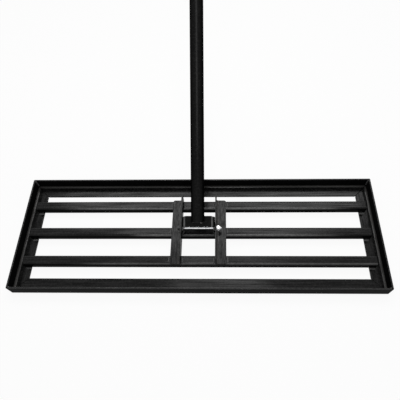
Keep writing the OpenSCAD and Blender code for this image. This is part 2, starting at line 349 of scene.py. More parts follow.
# %% Group the sprayed skin and the film
# A noise seldom leaves the middle of 0 to 1, so the middle is stretched over the whole range
wide_middle = 0.3, 0.7
narrow_middle = 0.35, 0.65

skin_group, given, put = new_group("sprayed_skin", {"Peel Scale": 700.0, "Cloud Scale": 30.0},
                                   ["Peel", "Cloud"])
place = add_node(skin_group, "TexCoord").outputs["Object"]
cloud = noise(skin_group, place, given["Cloud Scale"], 4.0)
send(skin_group, noise(skin_group, place, given["Peel Scale"], 2.0), put["Peel"])
send(skin_group, remap(skin_group, cloud, *wide_middle), put["Cloud"])

# Film on standing faces, kept thin as painted shade so that they mirror almost nothing
standing_face_shade_film = 0.03
thin_grain = 0.7
streak_scale = 9.0
# Film left on the middle slat under the bracket, where its shine is taken away as painted shade
painted_shade_film = 0.08

film_group, given, put = new_group(
    "sprayed_film_and_painted_shade", {"Least Lean": 0.1, "Full Lean": 0.7, "Grain Scale": 700.0, "Least Streak": 1.0},
    ["Film"])
spot = add_node(film_group, "TexCoord").outputs
# Painted shade: the less a face looks up, the less film it gets and the less it mirrors
facing = add_node(film_group, "SeparateXYZ", {0: spot["Normal"]}).outputs["Z"]
level = remap(film_group, facing, given["Least Lean"], given["Full Lean"], standing_face_shade_film, 1.0)
grain = noise(film_group, spot["Object"], given["Grain Scale"], 2.0)
film = times(film_group, level, remap(film_group, grain, *wide_middle, thin_grain, 1.0))
line = noise(film_group, spot["Generated"], streak_scale, 3.0)
streak = remap(film_group, line, *narrow_middle, given["Least Streak"], 1.0)
film = times(film_group, film, streak)
# Painted shade: the film is taken away where this value is set, on the middle slat under the bracket
slat_shade_mask = add_node(film_group, "Attribute", attribute_name="painted_shade_and_darkening").outputs["Fac"]
shine_left = remap(film_group, slat_shade_mask, 0.0, 1.0, 1.0, painted_shade_film)
send(film_group, times(film_group, film, shine_left), put["Film"])
print("groups:", skin_group.name, film_group.name)

# %% Group the rubbed edges, the dust and the scratches
least_rub_and_highlight = 0.7
dusty_lean = 0.5
speck_range = 0.45, 0.75

# Pale edges: partly rubbed paint, partly painted highlight along edges and bends that catch the light
edge_group, given, put = new_group("rubbed_and_highlit_edges", {"Amount": 0.5, "Patch Scale": 120.0},
                                   ["Rubbed", "Inner Corner"])
place = add_node(edge_group, "TexCoord").outputs["Object"]
wear = add_node(edge_group, "Attribute", attribute_name="wear").outputs["Fac"]
patch = noise(edge_group, place, given["Patch Scale"], 3.0)
outer = calculate(edge_group, "MAXIMUM", wear, 0.0)
rubbed_and_highlit = times(edge_group, outer, remap(edge_group, patch, *narrow_middle, least_rub_and_highlight, 1.0))
send(edge_group, times(edge_group, rubbed_and_highlit, given["Amount"]), put["Rubbed"])
inner = calculate(edge_group, "MAXIMUM", times(edge_group, wear, -1.0), 0.0)
send(edge_group, inner, put["Inner Corner"])

dust_group, given, put = new_group("settled_dust", {"Amount": 0.1, "Speck Scale": 260.0}, ["Dust"])
place = add_node(dust_group, "TexCoord").outputs["Object"]
outwards = add_node(dust_group, "NewGeometry").outputs["Normal"]
facing = add_node(dust_group, "SeparateXYZ", {0: outwards}).outputs["Z"]
upwards = remap(dust_group, facing, dusty_lean, 1.0)
speck = remap(dust_group, noise(dust_group, place, given["Speck Scale"], 5.0), *speck_range)
settled = times(dust_group, upwards, speck)
send(dust_group, times(dust_group, settled, given["Amount"]), put["Dust"])

scratch_group, given, put = new_group("fine_scratches", {"Scale": 900.0, "Length": 0.06}, ["Scratch"])
place = add_node(scratch_group, "TexCoord").outputs["Object"]
drawn = add_node(scratch_group, "CombineXYZ", {0: given["Length"], 1: 1.0, 2: 1.0}).outputs[0]
along = add_node(scratch_group, "VectorMath", {0: place, 1: drawn}, operation="MULTIPLY").outputs[0]
lines = noise(scratch_group, along, given["Scale"], 4.0)
send(scratch_group, remap(scratch_group, lines, *narrow_middle), put["Scratch"])
print("node groups:", [group.name for group in bpy.data.node_groups])

# %% [markdown]
# ## Finishes
#
# The head wears a satin black powder coat, and the handle's tube and bracket a smoother one.
# The bolt's shank, the nut and its washer are bright zinc, the bolt's head, its washer and the joint screws
# are black, the nut's ring is nylon, the sleeves are bare steel, the grip is rubber and the cap plastic.
# One function makes all coated and moulded finishes, because they differ only in tone, gloss and grain:
# the groups bring the unevenness and the Principled shader stays in the material.

# %% Define the coated finish
# Tone of the pale edges, partly rubbed paint and partly painted highlight
rub_and_highlight_tone = grey(0.17)
# Dust tone, which inner corners take too: dust, and along the rails' roots a painted highlight
dust_and_highlight_tone = (0.16, 0.155, 0.15, 1.0)
corner_dust_and_highlight = 0.4
dust_dulls = 0.5
peel_strength = 0.35


def use_group(tree, group, **values):
    node = tree.nodes.new("ShaderNodeGroup")
    node.node_tree = group
    for label, value in values.items():
        node.inputs[label.replace("_", " ")].default_value = value
    return node.outputs


def new_finish(name):
    finish = bpy.data.materials.new(name)
    finish.use_nodes = True
    return finish, finish.node_tree, finish.node_tree.nodes["Principled BSDF"]


def feed(tree, shader, colour, roughness, height, strength, depth):
    bump = add_node(tree, "Bump", {"Strength": strength, "Distance": depth, "Height": height})
    tree.links.new(colour, shader.inputs["Base Color"])
    tree.links.new(roughness, shader.inputs["Roughness"])
    tree.links.new(bump.outputs["Normal"], shader.inputs["Normal"])


def coated(name, deep, pale, rough, gloss, peel, rub_and_highlight=0.3, dust=0.08,
           film_index=None, lean=(0.1, 0.7), streak=1.0):
    """Sprayed or moulded finish: deep and pale are its two tones, rough its lowest and highest roughness,
    peel its skin's scale and depth in millimetres. A sprayed one has a film, whose gloss follows from
    its refractive index. Lean says how much a face must look up to get any film and to get all of it;
    the less film a face gets, the less it mirrors, which is painted shade. Streak says how thin the film is
    in its streaks."""
    finish, tree, shader = new_finish(name)
    peel_scale, peel_depth = peel
    skin = use_group(tree, skin_group, Peel_Scale=peel_scale)
    edge = use_group(tree, edge_group, Amount=rub_and_highlight)
    settled = use_group(tree, dust_group, Amount=dust)
    tone = mix_colours(tree, skin["Cloud"], deep, pale)
    # Pale edges, partly rub and partly painted highlight
    tone = mix_colours(tree, edge["Rubbed"], tone, rub_and_highlight_tone)
    # Inner corners take the dust tone: dust in the grip's grooves, a painted highlight along the rails'
    # roots
    in_corners = times(tree, edge["Inner Corner"], corner_dust_and_highlight)
    dust_and_highlight = calculate(tree, "MAXIMUM", settled["Dust"], in_corners)
    tone = mix_colours(tree, dust_and_highlight, tone, dust_and_highlight_tone)
    sheen = remap(tree, skin["Cloud"], 0.0, 1.0, rough[0], rough[1])
    sheen = calculate(tree, "ADD", sheen, times(tree, settled["Dust"], dust_dulls))
    shader.inputs["Specular IOR Level"].default_value = gloss
    if film_index:
        shader.inputs["Coat IOR"].default_value = film_index
        shader.inputs["Coat Roughness"].default_value = rough[0]
        film = use_group(tree, film_group, Grain_Scale=peel_scale, Least_Lean=lean[0], Full_Lean=lean[1],
                         Least_Streak=streak)
        tree.links.new(film["Film"], shader.inputs["Coat Weight"])
    feed(tree, shader, tone, sheen, skin["Peel"], peel_strength, peel_depth * mm)
    return finish


print("coated finish ready")

# %% Define the metal finish
metal_peel_scale = 1500.0
scratch_dulls = 0.12
scratch_strength = 0.1
scratch_depth = 0.005 * mm
# Dark tone, gloss and dullness where wear is below 0: painted shade on the bolt's shank, darker bare weld
# ends
dark_and_painted_shade_tone = grey(0.008)
darkened_part_gloss = 0.1
darkened_part_dulls = 0.45


def metal(name, bright, dull, rough, scratch_scale, scratch_length):
    """Bare or plated metal: drawn scratches change its tone and its gloss. Where its wear is below 0 it
    turns
    dark and dull: painted shade on the bolt's shank, a darker tone on the bare weld ends."""
    finish, tree, shader = new_finish(name)
    skin = use_group(tree, skin_group, Peel_Scale=metal_peel_scale)
    mark = use_group(tree, scratch_group, Scale=scratch_scale, Length=scratch_length)
    tone = mix_colours(tree, skin["Cloud"], bright, dull)
    tone = mix_colours(tree, times(tree, mark["Scratch"], scratch_dulls), tone, dull)
    # Below-zero wear darkens the metal: painted shade on the bolt's shank, a darker tone on the bare weld
    # ends
    painted_shade_and_darkening = use_group(tree, edge_group)["Inner Corner"]
    tone = mix_colours(tree, painted_shade_and_darkening, tone, dark_and_painted_shade_tone)
    sheen = remap(tree, mark["Scratch"], 0.0, 1.0, rough[0], rough[1])
    sheen = calculate(tree, "ADD", sheen, times(tree, painted_shade_and_darkening, darkened_part_dulls))
    shader.inputs["Specular IOR Level"].default_value = darkened_part_gloss
    tree.links.new(calculate(tree, "SUBTRACT", 1.0, painted_shade_and_darkening), shader.inputs["Metallic"])
    feed(tree, shader, tone, sheen, mark["Scratch"], scratch_strength, scratch_depth)
    return finish


print("metal finish ready")

# %% Mix the finishes
finishes = {
    "black_paint": coated("black_powder_coat", grey(0.0035), grey(0.0065, 1.03), rough=(0.16, 0.26),
                          gloss=0.001, peel=(650.0, 0.05), rub_and_highlight=1.0, film_index=1.29, streak=0.35),
    # The tube's film covers only its crown: painted shade on its sides, so only a narrow streak along the
    # top mirrors the light
    "tube_paint": coated("tube_black_coat", grey(0.001), grey(0.002, 1.02), rough=(0.22, 0.3),
                         gloss=0.001, peel=(900.0, 0.015), rub_and_highlight=0.8, film_index=1.19, lean=(0.5, 0.84)),
    "zinc": metal("bright_zinc", (0.84, 0.85, 0.86, 1), (0.76, 0.77, 0.79, 1), rough=(0.24, 0.32),
                  scratch_scale=900.0, scratch_length=0.08),
    "nylon": coated("white_nylon", (0.72, 0.72, 0.68, 1), (0.80, 0.80, 0.77, 1), rough=(0.38, 0.5),
                    gloss=0.4, peel=(900.0, 0.02), rub_and_highlight=0.0, dust=0.03),
    "bare_steel": metal("bare_steel", (0.42, 0.41, 0.40, 1), (0.30, 0.29, 0.28, 1), rough=(0.30, 0.46),
                        scratch_scale=500.0, scratch_length=0.3),
    "black_screw": coated("black_oxide", grey(0.010), grey(0.018), rough=(0.30, 0.42),
                          gloss=0.25, peel=(1200.0, 0.02), rub_and_highlight=0.4),
    "grip_rubber": coated("ribbed_rubber", grey(0.008), grey(0.014), rough=(0.55, 0.72),
                          gloss=0.3, peel=(1400.0, 0.06), rub_and_highlight=0.1, dust=0.2),
    "cap_plastic": coated("moulded_cap", grey(0.009), grey(0.014), rough=(0.36, 0.48),
                          gloss=0.35, peel=(1100.0, 0.03), rub_and_highlight=0.15),
}
for shown in frame["nodes"].values():
    shown.data.materials[0] = finishes[shown.data.materials[0].name]
print("finishes:", sorted(finishes))

# %% [markdown]
# ## Rings into skins
#
# A rail, a slat, a tube and a bolt have one thing in common: each is a row of rings with a skin
# stretched over them. A ring is a list of points with a wear value, and the next ring has as many points.
# A solid bar closes its two end rings with a face; a hollow one runs along the outside,
# back along the inside, and joins its last ring to its first.

# %% Define the skin and the piece
import bmesh

sharpest_smooth = math.radians(50)


def skin(rings, hollow=False):
    """Points, wear values and faces of a row of rings."""
    count = len(rings[0])
    points = [spot[0] for ring in rings for spot in ring]
    wear_values = [spot[1] for ring in rings for spot in ring]
    steps = len(rings) if hollow else len(rings) - 1
    faces = []
    for row in range(steps):
        here, there = row * count, (row + 1) % len(rings) * count
        for i in range(count):
            j = (i + 1) % count
            faces.append((here + i, here + j, there + j, there + i))
    if not hollow:
        faces.append(tuple(range(count)))
        faces.append(tuple(range(len(points) - count, len(points))))
    return points, wear_values, faces


def dress(shape, nodes, body, slot):
    """Gives a piece its finish and its body, and lets it stand for CAD nodes. Its round edges shade smoothly
    while the flat faces beside them stay flat."""
    shape.data.materials.clear()
    shape.data.materials.append(finishes[slot])
    shape.data.shade_smooth()
    shape.data.set_sharp_from_angle(angle=sharpest_smooth)
    shape.modifiers.new("flat_faces_stay_flat", "WEIGHTED_NORMAL").keep_sharp = True
    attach(shape, body)
    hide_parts(*nodes)
    return shape


def make_piece(name, skins, nodes, body, slot):
    """One object of one or more closed skins."""
    points, wear_values, faces = [], [], []
    for part_points, part_wear, part_faces in skins:
        faces += [tuple(len(points) + i for i in face) for face in part_faces]
        points += part_points
        wear_values += part_wear
    mesh = bpy.data.meshes.new(name)
    mesh.from_pydata(points, [], faces)
    mesh.attributes.new("wear", "FLOAT", "POINT").data.foreach_set("value", wear_values)
    build = bmesh.new()
    build.from_mesh(mesh)
    bmesh.ops.recalc_face_normals(build, faces=build.faces)
    build.to_mesh(mesh)
    build.free()
    return dress(show(name, mesh), nodes, body, slot)


print("skin and piece helpers ready")

# %% [markdown]
# ## The frame's angle irons
#
# Four mitred lengths of angle iron make the tray: a flange on the ground and a wall outside.
# Rolled angle iron has a rounded root inside, soft toes and a fairly sharp heel. The section is drawn once
# with a radius for each corner. Scaling the length of every point by its distance from the outer face
# gives the mitre by itself, and a last ring that is drawn in a little leaves the fine groove
# that shows where two irons meet. The pale line along the root is a painted highlight, and the pale edges,
# most of all the front rail's rim, are partly rub and partly painted highlight.

# %% Draw sections with round corners
heel_round = 0.8 * mm
sole_round = 0.6 * mm
toe_round = 1.1 * mm
inner_rim_round = 1.0 * mm
outer_rim_round = 0.6 * mm


def round_corners(corners, steps=5):
    """Outline through (a, b, radius) corners, as (a, b, wear, inward a, inward b) points."""
    outline = []
    for i, (a, b, radius) in enumerate(corners):
        here = Vector((a, b))
        before = (Vector(corners[i - 1][:2]) - here).normalized()
        after = (Vector(corners[(i + 1) % len(corners)][:2]) - here).normalized()
        turn = before.angle(after)
        outer = 1.0 if before.x * after.y - before.y * after.x < 0 else -1.0
        middle = here + (before + after).normalized() * radius / math.sin(turn / 2)
        start = here + before * radius / math.tan(turn / 2) - middle
        finish = here + after * radius / math.tan(turn / 2) - middle
        swing = math.atan2(start.x * finish.y - start.y * finish.x, start.dot(finish))
        for step in range(steps + 1):
            angle = swing * step / steps
            spoke = Vector((start.x * math.cos(angle) - start.y * math.sin(angle),
                            start.x * math.sin(angle) + start.y * math.cos(angle)))
            inward = -outer * spoke.normalized()
            wear_value = outer * math.sin(math.pi * step / steps)
            outline.append((middle.x + spoke.x, middle.y + spoke.y, wear_value, inward.x, inward.y))
    return outline


rail_section = round_corners([
    (0, 0, heel_round), (rail_flange, 0, sole_round), (rail_flange, rail_plate, toe_round),
    (rail_plate, rail_plate, rail_root), (rail_plate, rail_height, inner_rim_round),
    (0, rail_height, outer_rim_round)])
print("rail section:", len(rail_section), "points")

# %% Make the four rails
mitre_groove = 1.3 * mm
rail_pieces = 24
# Paleness of the rails' edges and front rim, partly rub and partly painted highlight, and of the root line,
# a painted highlight
rail_wear_and_highlight = 0.2
front_rim_wear_and_highlight = 0.7
root_highlight = 0.8


def rail_skin(length, turn, move, rim_wear_and_highlight=rail_wear_and_highlight):
    stand = Matrix.Translation(move) @ Matrix.Rotation(math.radians(turn), 4, "Z")
    rings = []
    for step in range(-1, rail_pieces + 2):
        share = 2 * min(max(step, 0), rail_pieces) / rail_pieces - 1
        at_end = step in (-1, rail_pieces + 1)
        inset = mitre_groove if at_end else 0
        back_off = 0 if at_end else abs(share) * mitre_groove
        ring = []
        for a, b, wear_value, inward_a, inward_b in rail_section:
            along = share * (length / 2 - a - back_off)
            # Pale edges and rim: partly rub, partly painted highlight; the pale root line is a painted
            # highlight
            rub_and_highlight = rim_wear_and_highlight if b > rail_height / 2 else rail_wear_and_highlight
            ring.append((stand @ Vector((along, a + inward_a * inset, b + inward_b * inset)),
                         wear_value * (rub_and_highlight if wear_value > 0 else root_highlight)))
        rings.append(ring)
    return skin(rings)


half_length, half_depth = head_length / 2, head_depth / 2
rails = {
    "front_rail": rail_skin(head_length, 0, (0, -half_depth, 0), front_rim_wear_and_highlight),
    "back_rail": rail_skin(head_length, 180, (0, half_depth, 0)),
    "left_rail": rail_skin(head_depth, -90, (-half_length, 0, 0)),
    "right_rail": rail_skin(head_depth, 90, (half_length, 0, 0)),
}
for node, iron in rails.items():
    make_piece(node + "_iron", [iron], [node], "head", "black_paint")
print("rails:", len(rails))

# %% [markdown]
# ## The slats
#
# Three square tubes run from end to end and scrape the soil level. A drawn square tube has rounded corners.
# The upper front corner carries a pale line, a painted highlight: its wear value is the highest
# there and fades out. The photograph shows the line over another part of each slat, so each has its own
# start and end. The skin runs outside from left to right, turns in over the cut end and runs back inside,
# so the open ends are real. Under the pivot, between the uprights, the middle slat's coat loses its shine:
# painted shade where the bracket hangs over it.

# %% Make the three slats
slat_wall = 2 * mm
slat_corner = 4 * mm
slat_corner_steps = 8
slat_pieces = 24
slat_wear = 0.1
cut_edge = 0.3 * mm
# Where the painted highlight line starts, is full, is still full and ends, from -1 at the left end to 1 at
# the right, and how strong it is
slat_highlight_lines = {
    "front_slat": (-0.70, -0.42, 1.0, 2.0, 0.55),
    "middle_slat": (-0.38, -0.27, 0.42, 0.85, 1.0),
    "back_slat": (-0.85, -0.50, 0.65, 0.88, 1.0),
}


def clamp(value):
    return min(max(value, 0), 1)


def square_outline(half, corner):
    square = ((-half, -half), (half, -half), (half, half), (-half, half))
    return round_corners([(a, b, corner) for a, b in square], slat_corner_steps)


def slat_skin(node):
    low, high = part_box(node)
    middle = (low + high) / 2
    half = (high.z - low.z) / 2
    outside = square_outline(half, slat_corner)
    inside = square_outline(half - slat_wall, slat_corner - slat_wall)
    highlight_start, full_from, full_to, highlight_end, strength = slat_highlight_lines[node]

    def ring(outline, x, inset, wear_share):
        share = x / high.x
        rising = (share - highlight_start) / (full_from - highlight_start)
        falling = (highlight_end - share) / (highlight_end - full_to)
        rub_and_highlight = clamp(min(rising, falling))
        spots = []
        for a, b, wear_value, da, db in outline:
            front_top = a < 0 < b
            # Along the front top corner the pale line is a painted highlight
            rubbed_and_highlit = strength * min(2 * rub_and_highlight * wear_value, 1) if front_top else slat_wear * wear_value
            point = Vector((x, middle.y + a + da * inset, middle.z + b + db * inset))
            spots.append((point, rubbed_and_highlit * wear_share))
        return spots

    run = high.x - low.x - 2 * cut_edge
    places = [low.x + cut_edge + run * i / slat_pieces for i in range(slat_pieces + 1)]
    rings = [ring(outside, low.x, cut_edge, 0)]
    rings += [ring(outside, x, 0, 1) for x in places]
    rings += [ring(outside, high.x, cut_edge, 0), ring(inside, high.x, 0, 0)]
    rings += [ring(inside, x, 0, 0) for x in reversed(places)]
    rings += [ring(inside, low.x, 0, 0)]
    return skin(rings, hollow=True)


slats = {}
for node in slat_highlight_lines:
    slats[node] = make_piece(node + "_tube", [slat_skin(node)], [node], "head", "black_paint")
# Painted shade: the middle slat loses its shine between the uprights, under the bracket
shaded_slat = slats["middle_slat"].data
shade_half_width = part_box("right_upright")[0].x
shaded_slat.attributes.new("painted_shade_and_darkening", "FLOAT", "POINT").data.foreach_set(
    "value", [1.0 if abs(point.co.x) < shade_half_width else 0.0 for point in shaded_slat.vertices])
print("slats:", len(slats))

# %% [markdown]
# ## Plates with eased edges
#
# The uprights, the handle's bracket and the washers already have the right shape in the frame,
# but their edges are as sharp as only a computer makes them. A copy of the node is cleaned, so that
# each flat face is one face again, and its sharp edges are bevelled by a fraction of a millimetre.
# A Bevel modifier could do that too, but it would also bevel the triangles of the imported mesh.

# %% Ease the edges of the plates
same_point = 0.001 * mm
flat_angle = math.radians(0.5)
sharp_angle = math.radians(40)
bevel_steps = 3
widest_strip = 150 * mm * mm
eased_wear = 0.1
most_bend = math.radians(35)
# Outer bends of the bracket get a pale painted highlight where they face within these angles of the crown
highlight_full, highlight_ends = math.cos(math.radians(22)), math.cos(math.radians(36))
web_crown = handle_frame.to_3x3() @ Vector((0, 0, 1))


def is_bent(face):
    """True for the strips of a rounded corner, which turn a little at two of their edges."""
    return sum(flat_angle < abs(edge.calc_face_angle_signed()) < most_bend for edge in face.edges) > 1


def bend_highlight(point, crown, rounded):
    """Wear of a point in a bend: -1 in an inner one, and a painted highlight near the crown of an outer one.
    """
    lean = sum(edge.calc_face_angle_signed() for edge in point.link_edges
               if rounded.isdisjoint(edge.link_faces))
    facing = point.normal.dot(crown)
    return clamp((facing - highlight_ends) / (highlight_full - highlight_ends)) if lean > 0 else -1.0


def eased_copy(node, ease, body, slot, side=None, crown=Vector((0, 0, 1))):
    """Copy of a node with eased edges. Where a side is given, only what lies left (-1) or right (1)
    of the middle is kept. Outer bends get a pale painted highlight where they still face almost the way that
    crown points."""
    build = bmesh.new()
    build.from_mesh(frame["nodes"][node].data)
    if side:
        beyond = [point for point in build.verts if point.co.x * side < 0]
        bmesh.ops.delete(build, geom=beyond, context="VERTS")
    bmesh.ops.remove_doubles(build, verts=build.verts, dist=same_point)
    bmesh.ops.dissolve_limit(build, angle_limit=flat_angle, verts=build.verts, edges=build.edges)
    sharp = [edge for edge in build.edges if edge.is_manifold and edge.calc_face_angle() > sharp_angle]
    made = bmesh.ops.bevel(build, geom=sharp, offset=ease, segments=bevel_steps, profile=0.5,
                           affect="EDGES", clamp_overlap=True)
    rounded = set(made["faces"])
    build.normal_update()
    narrow = {face for face in build.faces if face.calc_area() < widest_strip}
    wear_layer = build.verts.layers.float.new("wear")
    for point in build.verts:
        around = point.link_faces
        if all(face in rounded for face in around):
            point[wear_layer] = eased_wear
        elif all(face in rounded or face in narrow and is_bent(face) for face in around):
            point[wear_layer] = bend_highlight(point, crown, rounded)
    name = node + {None: "_plate", -1: "_left", 1: "_right"}[side]
    mesh = bpy.data.meshes.new(name)
    build.to_mesh(mesh)
    build.free()
    dress(show(name, mesh), [node], body, slot)
    return len(mesh.vertices)


eased = {
    "left_upright": eased_copy("left_upright", 0.6 * mm, "head", "black_paint"),
    "right_upright": eased_copy("right_upright", 0.6 * mm, "head", "black_paint"),
    "handle_bracket": eased_copy("handle_bracket", 0.5 * mm, "handle", "tube_paint", crown=web_crown),
    "left washer": eased_copy("pivot_washers", 0.25 * mm, "head", "black_screw", -1),
    "right washer": eased_copy("pivot_washers", 0.25 * mm, "head", "zinc", 1),
}
print("points in the eased plates:", eased)

# %% [markdown]
# ## Weld beads
#
# The rake is welded, and a weld is not a smooth strip: each small pool of metal freezes over the last one,
# like a row of fallen coins. A bead is a skin along its corner whose section swells and shrinks
# with every pool. The pools are bent like a bow, because the middle of the bead stays liquid longest.
# A seeded random number makes each bead a little different, and the same again on each run.
# Two short beads at the tube's foot show pale in the photograph, so those are bare steel, darkened in part.

# %% Define the weld bead
import itertools
import random

leg = 3 * mm
sunk = (-0.08, -0.08)
pool_pitch = 1.7 * mm
pool_sizes = (0.88, 1.06)
pool_bow = 0.45
least_swell, pool_swell = 0.9, 0.12
valley_wear, crest_wear = 0.3, 0.7
steps_per_pool = 8
least_taper = 0.02
taper_power = 1.2
fillet_hollow = 0.16

fillet_outline = []
for i in range(11):
    angle = math.radians(-5 + 10 * i)
    sink = 1 - fillet_hollow * math.sin(2 * angle)
    fillet_outline.append((math.cos(angle) * sink, math.sin(angle) * sink))
seam_angles = [math.radians(-10 + 20 * i) for i in range(11)]
seam_outline = [(math.cos(angle), math.sin(angle)) for angle in seam_angles]
seeds = itertools.count(1)


# The last argument scales a bead's wear. The beads beside the slats, the uprights and the tube get a large
# share: a pale painted highlight on beads that lie in shade. Below 0 the bead is darkened instead.
def bead(start, finish, side, up, side_leg=leg, up_leg=leg, outline=fillet_outline, anchor=sunk, wear_and_painted_light=1.0):
    """Closed skin of a weld bead from start to finish, lying in the corner of side and up."""
    chance = random.Random(next(seeds))
    length = (finish - start).length
    forward_step = (finish - start).normalized()
    pools = max(round(length / pool_pitch), 3)
    sizes = [chance.uniform(*pool_sizes) for _ in range(pools + 2)]
    total = pools * steps_per_pool
    rings = []
    for step in range(total + 1):
        share = step / total
        taper = math.sqrt(max(1 - abs(2 * share - 1) ** (length / side_leg * taper_power), least_taper))
        spot = start + forward_step * length * share
        ring = [(spot + side * anchor[0] * side_leg + up * anchor[1] * up_leg, 0.0)]
        for k, (a, b) in enumerate(outline):
            pool = share * pools + pool_bow * math.sin(math.pi * k / (len(outline) - 1))
            rise = 1 - (2 * (pool % 1) - 1) ** 2
            swell = sizes[int(pool)] * (least_swell + pool_swell * rise) * taper
            ring.append((spot + side * a * side_leg * swell + up * b * up_leg * swell,
                         wear_and_painted_light * (valley_wear + crest_wear * rise) * max(a, 0)))
        rings.append(ring)
    return skin(rings)


print("bead outlines:", len(fillet_outline), "and", len(seam_outline), "points")

# %% Weld the corners
X, Y, Z = Vector((1, 0, 0)), Vector((0, 1, 0)), Vector((0, 0, 1))
rim_gap = 0.5 * mm
seam_half, seam_rise = 0.8 * mm, 0.7 * mm
seam_sunk = 1.1 * mm
seam_anchor = (0, -0.4)
seam_stop = 1 * mm
corner_beads = []

for sx in (-1, 1):
    for sy in (-1, 1):
        corner = Vector((sx * (half_length - rail_plate), sy * (half_depth - rail_plate), 0))
        corner_beads.append(bead(corner + Z * (rail_plate + rail_root), corner + Z * (rail_height - rim_gap),
                                 -sx * X, -sy * Y))
        inward = Vector((-sx, -sy, 0)).normalized()
        across = Vector((sx, -sy, 0)).normalized()
        toe = Vector((sx * (half_length - rail_flange), sy * (half_depth - rail_flange), rail_plate))
        seam_start = corner + Z * rail_plate + inward * (rail_root + leg) * math.sqrt(2)
        seam_end = toe - inward * seam_stop
        corner_beads.append(bead(seam_start - Z * seam_sunk, seam_end - Z * seam_sunk, across, Z,
                                 seam_half, seam_rise, seam_outline, seam_anchor, wear_and_painted_light=0.0))

make_piece("corner_weld_beads", corner_beads, ["corner_welds"], "head", "black_paint")
print("beads at the corners:", len(corner_beads))

# %% Weld the slats and the uprights
deep = (-0.7, -0.08)
upright_leg = 1.4 * leg
slat_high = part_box("middle_slat")[1]
slat_half, slat_top = slat_high.y, slat_high.z
slat_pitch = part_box("back_slat")[1].y - slat_high.y
bead_half = slat_half - slat_corner
slat_beads, upright_beads = [], []

for sx in (-1, 1):
    for row in (-1, 0, 1):
        end = Vector((sx * slat_high.x, row * slat_pitch, rail_plate))
        toe = Vector((sx * (half_length - rail_flange), row * slat_pitch, rail_plate))
        for side in (-1, 1):
            slat_beads.append(bead(end + side * slat_half * Y, toe + side * slat_half * Y, side * Y, Z,
                                   slat_corner, slat_corner, anchor=deep, wear_and_painted_light=2.0))
        slat_beads.append(bead(end - bead_half * Y, end + bead_half * Y, sx * X, Z))

upright_low, upright_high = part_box("right_upright")
for sx in (-1, 1):
    for row in (-1, 0, 1):
        for edge, outwards in ((upright_high.x, 1), (upright_low.x, -1)):
            middle = Vector((sx * edge, row * slat_pitch, slat_top))
            upright_beads.append(bead(middle - Y * bead_half, middle + Y * bead_half, sx * outwards * X, Z,
                                      upright_leg, wear_and_painted_light=1.6))

make_piece("slat_weld_beads", slat_beads, ["slat_welds"], "head", "black_paint")
make_piece("upright_weld_beads", upright_beads, ["upright_welds"], "head", "black_paint")
print("beads on the slats and uprights:", len(slat_beads) + len(upright_beads))

# %% Weld the tube to the bracket
web_rise = 14 * mm
tube_radius = 13.5 * mm
tube_rise = web_rise + tube_radius
tube_start = 16 * mm
web_end = 26.5 * mm
groove = 8.5 * mm
groove_stop = web_end - 0.3 * mm
groove_leg, groove_rise = 4.6 * mm, 3.1 * mm
# The bare ends: where each starts and stops across the tube's foot, how far it reaches out, and how much it
# is darkened
bare_ends = ((-7 * mm, -13 * mm, 4.8 * mm, -1.3), (2.5 * mm, 9.5 * mm, 6 * mm, -0.8))


def on_web(x, y):
    return handle_frame @ Vector((x, y, web_rise))


along_x, along_y, along_z = ((handle_frame.to_3x3() @ axis).normalized() for axis in (X, Y, Z))
# Paler beads along the tube: painted highlight
bracket_beads = [bead(on_web(side * groove, tube_start - leg), on_web(side * groove, groove_stop),
                      side * along_x, along_z, groove_leg, groove_rise, wear_and_painted_light=2.0) for side in (-1, 1)]
end_beads = [bead(on_web(near, tube_start), on_web(far, tube_start), -along_y, along_z, reach, wear_and_painted_light=painted_shade_and_darkening)
             for near, far, reach, painted_shade_and_darkening in bare_ends]
make_piece("bracket_weld_ends", end_beads, ["bracket_welds"], "handle", "bare_steel")
make_piece("bracket_weld_beads", bracket_beads, ["bracket_welds"], "handle", "tube_paint")
print("beads on the bracket:", len(bracket_beads) + len(end_beads))

# %% [markdown]
# ## Turned pieces
#
# Bolts, nuts, tubes and grips are round, so their rings are circles on one axis. Two functions are enough:
# a round ring, and a hexagon whose corners are cut back as on a real bolt, where a cone trims
# the six corners and leaves curved edges.

# %% Define the rings of turned pieces
turn_count = 72


def place_ring(stand, polar, wear_value=0.0):
    """Ring from (radius, height) pairs, one for each step round the axis z of stand."""
    ring = []
    for i, (radius, height) in enumerate(polar):
        angle = math.tau * i / len(polar)
        point = Vector((radius * math.cos(angle), radius * math.sin(angle), height))
        ring.append((stand @ point, wear_value))
    return ring


def round_ring(stand, radius, height, wear_value=0.0):
    return place_ring(stand, [(radius, height)] * turn_count, wear_value)


def turned(stand, profile):
    """Round rings from rows of radius, height and, where there is any, wear."""
    return [round_ring(stand, *row) for row in profile]


def hex_ring(stand, flat_half, height, trim=0.0, trim_from=0.0, wear_value=0.0):
    """Hexagon at a height, trimmed by a cone that starts at the radius trim_from."""
    polar = []
    for i in range(turn_count):
        from_flat = (math.tau * i / turn_count + math.pi / 6) % (math.pi / 3) - math.pi / 6
        radius = flat_half / math.cos(from_flat)
        polar.append((radius, height + trim * max(radius - trim_from, 0)))
    return place_ring(stand, polar, wear_value)


def on_bolt(x):
    return Matrix.Translation((x, 0, pivot_height)) @ Matrix.Rotation(math.radians(90), 4, "Y")


def on_tube(y):
    return handle_frame @ Matrix.Translation((0, y, tube_rise)) @ Matrix.Rotation(math.radians(-90), 4, "X")


print("rings have", turn_count, "points")

